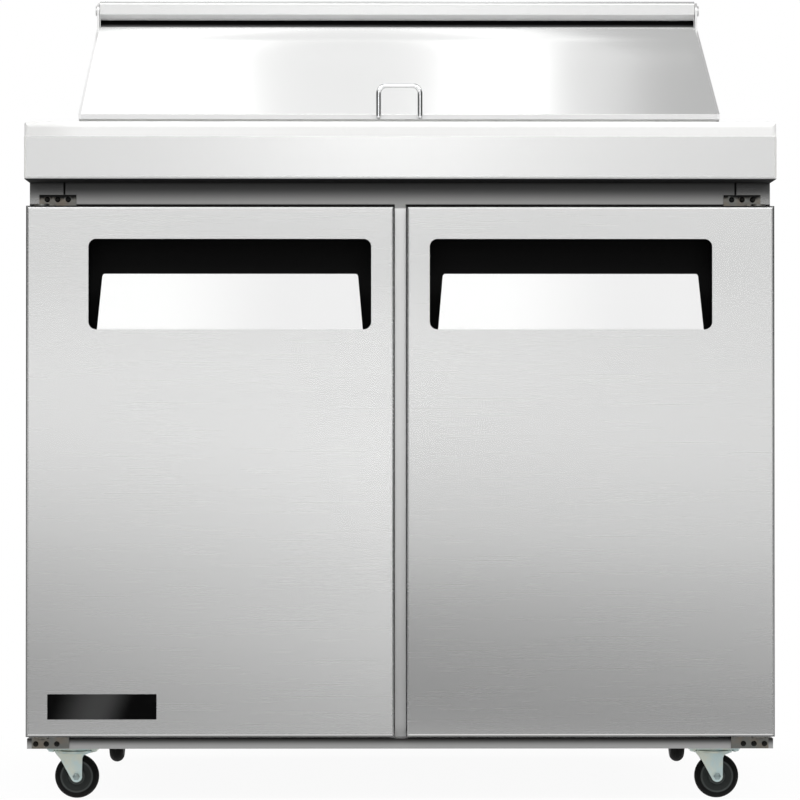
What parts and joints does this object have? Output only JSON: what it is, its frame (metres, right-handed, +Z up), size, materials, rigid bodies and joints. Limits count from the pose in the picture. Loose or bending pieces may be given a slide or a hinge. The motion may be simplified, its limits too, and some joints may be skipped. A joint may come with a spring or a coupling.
{
  "type": "sandwich prep table",
  "caption": "refrigerated sandwich prep table with two doors, a cutting board along the front, food pans under a sloping hinged lid, a rear hood and swivel casters",
  "frame": {"origin": "on the floor under the middle of the table", "axes": "+X to the right as seen from the front, +Y to the back, +Z up"},
  "size_m": [0.924, 0.762, 1.047],
  "materials": {
    "door_steel": "satin",
    "liner_steel": "satin",
    "zinc_sheet": "satin",
    "foam": "matte",
    "white_plastic": "satin",
    "board_plastic": "matte",
    "hinge_steel": "satin",
    "pin_steel": "polished",
    "screw_steel": "satin",
    "coated_wire": "gloss",
    "fin_aluminium": "satin",
    "black_fins": "matte",
    "black_motor": "satin",
    "black_shell": "gloss",
    "copper": "satin",
    "black_plastic": "matte",
    "black_plate": "gloss",
    "gasket_rubber": "matte",
    "bush_plastic": "satin",
    "bright_rod": "polished",
    "fan_blades": "satin",
    "fork_zinc": "satin",
    "wheel_rubber": "matte"
  },
  "bodies": {
    "cabinet": {"base_pan": "zinc_sheet", "left_side_panel": "door_steel", "right_side_panel": "door_steel", "back_panel": "zinc_sheet", "face_frame": "door_steel", "cabinet_liner": "liner_steel", "foam_insulation": "foam", "worktop": "door_steel", "pan_rail": "liner_steel", "pan_dividers": "liner_steel", "front_food_pans": "liner_steel", "rear_food_pans": "liner_steel", "rear_hood": "door_steel", "hinge_brackets": "hinge_steel", "hinge_pins": "pin_steel", "fasteners": "screw_steel", "left_shelf": "coated_wire", "right_shelf": "coated_wire", "shelf_supports": "zinc_sheet", "evaporator_coil": "fin_aluminium", "evaporator_housing": "liner_steel", "fan_motors": "black_motor", "compressor": "black_shell", "condenser_coil": "black_fins", "condensate_tray": "zinc_sheet", "refrigerant_lines": "copper", "rear_grille": "zinc_sheet", "cord_gland": "black_plastic", "caster_plates": "zinc_sheet"},
    "left_door": {"left_door_skin": "door_steel", "left_door_foam": "foam", "left_door_liner": "white_plastic", "left_door_gasket": "gasket_rubber", "left_handle_tub": "black_plastic", "left_pull_lip": "door_steel", "left_door_bushes": "bush_plastic", "front_plate": "black_plate"},
    "right_door": {"right_door_skin": "door_steel", "right_door_foam": "foam", "right_door_liner": "white_plastic", "right_door_gasket": "gasket_rubber", "right_handle_tub": "black_plastic", "right_pull_lip": "door_steel", "right_door_bushes": "bush_plastic"},
    "lid": {"lid_skin": "door_steel", "lid_panel": "white_plastic", "lid_end_caps": "door_steel", "lid_handle": "bright_rod"},
    "board": {"cutting_board": "board_plastic"},
    "evaporator_fan": {"evaporator_fan": "fan_blades"},
    "condenser_fan": {"condenser_fan": "fan_blades"},
    "dial": {"thermostat_dial": "black_plastic"},
    "front_left_fork": {"front_left_fork": "fork_zinc"},
    "front_left_wheel": {"front_left_wheel": "wheel_rubber"},
    "front_right_fork": {"front_right_fork": "fork_zinc"},
    "front_right_wheel": {"front_right_wheel": "wheel_rubber"},
    "rear_left_fork": {"rear_left_fork": "fork_zinc"},
    "rear_left_wheel": {"rear_left_wheel": "wheel_rubber"},
    "rear_right_fork": {"rear_right_fork": "fork_zinc"},
    "rear_right_wheel": {"rear_right_wheel": "wheel_rubber"}
  },
  "joints": [
    {"name": "left_door_swing", "type": "hinge", "parent": "cabinet", "child": "left_door", "pos_m": [-0.443, -0.342, 0.407], "axis": [0, 0, -1], "range_deg": [0, 110], "stiffness_Nm_per_rad": 1},
    {"name": "right_door_swing", "type": "hinge", "parent": "cabinet", "child": "right_door", "pos_m": [0.443, -0.342, 0.407], "axis": [0, 0, 1], "range_deg": [0, 110], "stiffness_Nm_per_rad": 1},
    {"name": "lid_swing", "type": "hinge", "parent": "cabinet", "child": "lid", "pos_m": [0, 0.194, 1.034], "axis": [-1, 0, 0], "range_deg": [0, 118]},
    {"name": "board_lift", "type": "slide", "parent": "cabinet", "child": "board", "axis": [0, 0, 1], "range_m": [0, 0.15]},
    {"name": "evaporator_fan_spin", "type": "hinge", "parent": "cabinet", "child": "evaporator_fan", "pos_m": [-0.06, 0.244, 0.611], "axis": [0, 1, 0], "continuous": true},
    {"name": "condenser_fan_spin", "type": "hinge", "parent": "cabinet", "child": "condenser_fan", "pos_m": [0.17, 0.235, 0.1945], "axis": [0, 1, 0], "continuous": true},
    {"name": "dial_turn", "type": "hinge", "parent": "cabinet", "child": "dial", "pos_m": [0.19, 0.223, 0.541], "axis": [0, 1, 0], "range_deg": [0, 270]},
    {"name": "front_left_swivel", "type": "hinge", "parent": "cabinet", "child": "front_left_fork", "pos_m": [-0.406, -0.301, 0.058], "axis": [0, 0, 1], "continuous": true},
    {"name": "front_left_roll", "type": "hinge", "parent": "front_left_fork", "child": "front_left_wheel", "pos_m": [-0.402, -0.301, 0.0275], "axis": [0, 1, 0], "continuous": true},
    {"name": "front_right_swivel", "type": "hinge", "parent": "cabinet", "child": "front_right_fork", "pos_m": [0.39, -0.301, 0.058], "axis": [0, 0, 1], "continuous": true},
    {"name": "front_right_roll", "type": "hinge", "parent": "front_right_fork", "child": "front_right_wheel", "pos_m": [0.394, -0.301, 0.0275], "axis": [0, 1, 0], "continuous": true},
    {"name": "rear_left_swivel", "type": "hinge", "parent": "cabinet", "child": "rear_left_fork", "pos_m": [-0.3875, 0.263, 0.058], "axis": [0, 0, 1], "continuous": true},
    {"name": "rear_left_roll", "type": "hinge", "parent": "rear_left_fork", "child": "rear_left_wheel", "pos_m": [-0.3875, 0.259, 0.0275], "axis": [1, 0, 0], "continuous": true},
    {"name": "rear_right_swivel", "type": "hinge", "parent": "cabinet", "child": "rear_right_fork", "pos_m": [0.3875, 0.263, 0.058], "axis": [0, 0, 1], "continuous": true},
    {"name": "rear_right_roll", "type": "hinge", "parent": "rear_right_fork", "child": "rear_right_wheel", "pos_m": [0.3875, 0.259, 0.0275], "axis": [1, 0, 0], "continuous": true}
  ]
}
